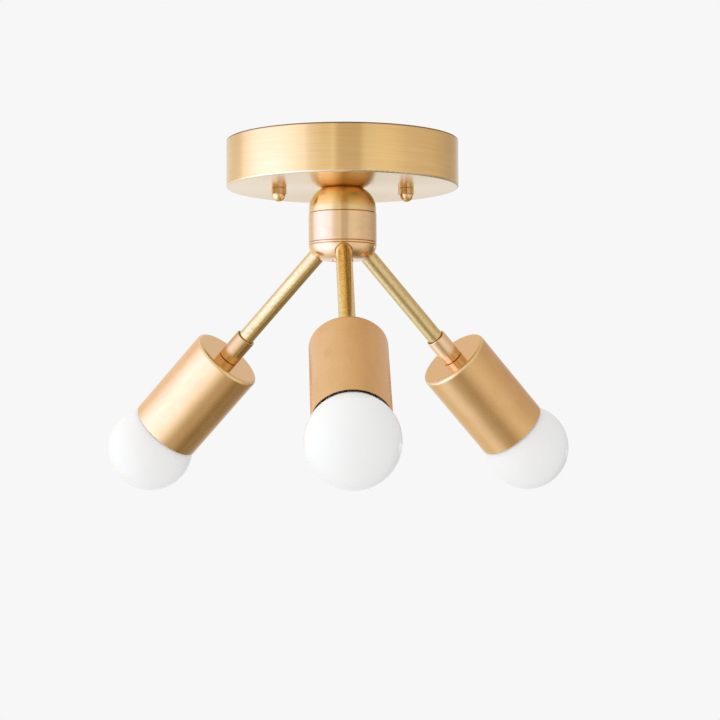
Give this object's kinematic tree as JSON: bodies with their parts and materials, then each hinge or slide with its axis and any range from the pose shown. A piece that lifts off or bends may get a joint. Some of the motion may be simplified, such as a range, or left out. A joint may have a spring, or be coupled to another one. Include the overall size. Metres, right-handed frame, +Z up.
{
  "type": "flush mount ceiling light",
  "caption": "Brass flush mount ceiling light: round pan canopy, turned hub and slanted tube arms with cylindrical socket cups that hold round opal bulbs, which unscrew.",
  "frame": {"origin": "centre of the crossbar's outlet-box screws, on the ceiling plane", "axes": "+Z up into the ceiling; one arm points along -Y; the canopy's cap nuts lie along X"},
  "size_m": [0.264, 0.2351, 0.191],
  "materials": {
    "brushed_brass": "brushed round the pan",
    "turned_brass": "fine turned",
    "rose_brass": "fine turned, rosy",
    "aged_brass": "aged, with small dark spots",
    "satin_brass": "satin",
    "contact_brass": "plain rolled",
    "zinc_steel": "zinc plated",
    "base_metal": "rolled",
    "opal_glass": "opal, gloss",
    "holder_porcelain": "glazed",
    "black_plastic": "moulded",
    "white_plastic": "moulded",
    "board_white": "solder mask",
    "lead_insulation": "extruded",
    "connector_plastic": "moulded",
    "green_screw": "green"
  },
  "bodies": {
    "fixture": {"crossbar": "zinc_steel", "ground_screw": "green_screw", "canopy_studs": "zinc_steel", "stud_lock_nuts": "zinc_steel", "canopy": "brushed_brass", "cap_nuts": "turned_brass", "canopy_washer": "zinc_steel", "canopy_lock_nut": "zinc_steel", "hub_nipple": "zinc_steel", "nipple_bushing": "black_plastic", "hub_cap": "turned_brass", "hub_lock_nut": "zinc_steel", "hub_ring": "rose_brass", "hub_body": "rose_brass", "hub_plug": "rose_brass", "splice_block": "white_plastic", "supply_leads": "lead_insulation", "wire_connectors": "connector_plastic", "arm_front": "aged_brass", "coupling_front": "rose_brass", "socket_cup_front": "satin_brass", "cup_nipple_front": "zinc_steel", "cup_lock_nut_front": "zinc_steel", "lampholder_front": "holder_porcelain", "screw_shell_front": "contact_brass", "centre_contact_front": "contact_brass", "arm_wires_front": "lead_insulation", "arm_right": "aged_brass", "coupling_right": "rose_brass", "socket_cup_right": "satin_brass", "cup_nipple_right": "zinc_steel", "cup_lock_nut_right": "zinc_steel", "lampholder_right": "holder_porcelain", "screw_shell_right": "contact_brass", "centre_contact_right": "contact_brass", "arm_wires_right": "lead_insulation", "arm_left": "aged_brass", "coupling_left": "rose_brass", "socket_cup_left": "satin_brass", "cup_nipple_left": "zinc_steel", "cup_lock_nut_left": "zinc_steel", "lampholder_left": "holder_porcelain", "screw_shell_left": "contact_brass", "centre_contact_left": "contact_brass", "arm_wires_left": "lead_insulation"},
    "bulb_carrier_front": {"bulb_contact_front": "contact_brass"},
    "bulb_front": {"bulb_insulator_front": "black_plastic", "bulb_base_front": "base_metal", "bulb_globe_front": "opal_glass", "light_board_front": "board_white"},
    "bulb_carrier_right": {"bulb_contact_right": "contact_brass"},
    "bulb_right": {"bulb_insulator_right": "black_plastic", "bulb_base_right": "base_metal", "bulb_globe_right": "opal_glass", "light_board_right": "board_white"},
    "bulb_carrier_left": {"bulb_contact_left": "contact_brass"},
    "bulb_left": {"bulb_insulator_left": "black_plastic", "bulb_base_left": "base_metal", "bulb_globe_left": "opal_glass", "light_board_left": "board_white"}
  },
  "joints": [
    {"name": "bulb_front_travel", "type": "slide", "parent": "fixture", "child": "bulb_carrier_front", "axis": [0, -0.7193, -0.6947], "range_m": [0, 0.01543]},
    {"name": "bulb_front_turn", "type": "hinge", "parent": "bulb_carrier_front", "child": "bulb_front", "pos_m": [0, -0.09711, -0.14042], "axis": [0, -0.7193, -0.6947], "range_deg": [0, 1530]},
    {"name": "bulb_right_travel", "type": "slide", "parent": "fixture", "child": "bulb_carrier_right", "axis": [0.623, 0.3597, -0.6947], "range_m": [0, 0.01543]},
    {"name": "bulb_right_turn", "type": "hinge", "parent": "bulb_carrier_right", "child": "bulb_right", "pos_m": [0.0841, 0.04856, -0.14042], "axis": [0.623, 0.3597, -0.6947], "range_deg": [0, 1530]},
    {"name": "bulb_left_travel", "type": "slide", "parent": "fixture", "child": "bulb_carrier_left", "axis": [-0.623, 0.3597, -0.6947], "range_m": [0, 0.01543]},
    {"name": "bulb_left_turn", "type": "hinge", "parent": "bulb_carrier_left", "child": "bulb_left", "pos_m": [-0.0841, 0.04856, -0.14042], "axis": [-0.623, 0.3597, -0.6947], "range_deg": [0, 1530]}
  ],
  "couplings": [
    {"joint": "bulb_front_travel", "follows": "bulb_front_turn", "m_per_rad": 0.0005775},
    {"joint": "bulb_right_travel", "follows": "bulb_right_turn", "m_per_rad": 0.0005775},
    {"joint": "bulb_left_travel", "follows": "bulb_left_turn", "m_per_rad": 0.0005775}
  ]
}
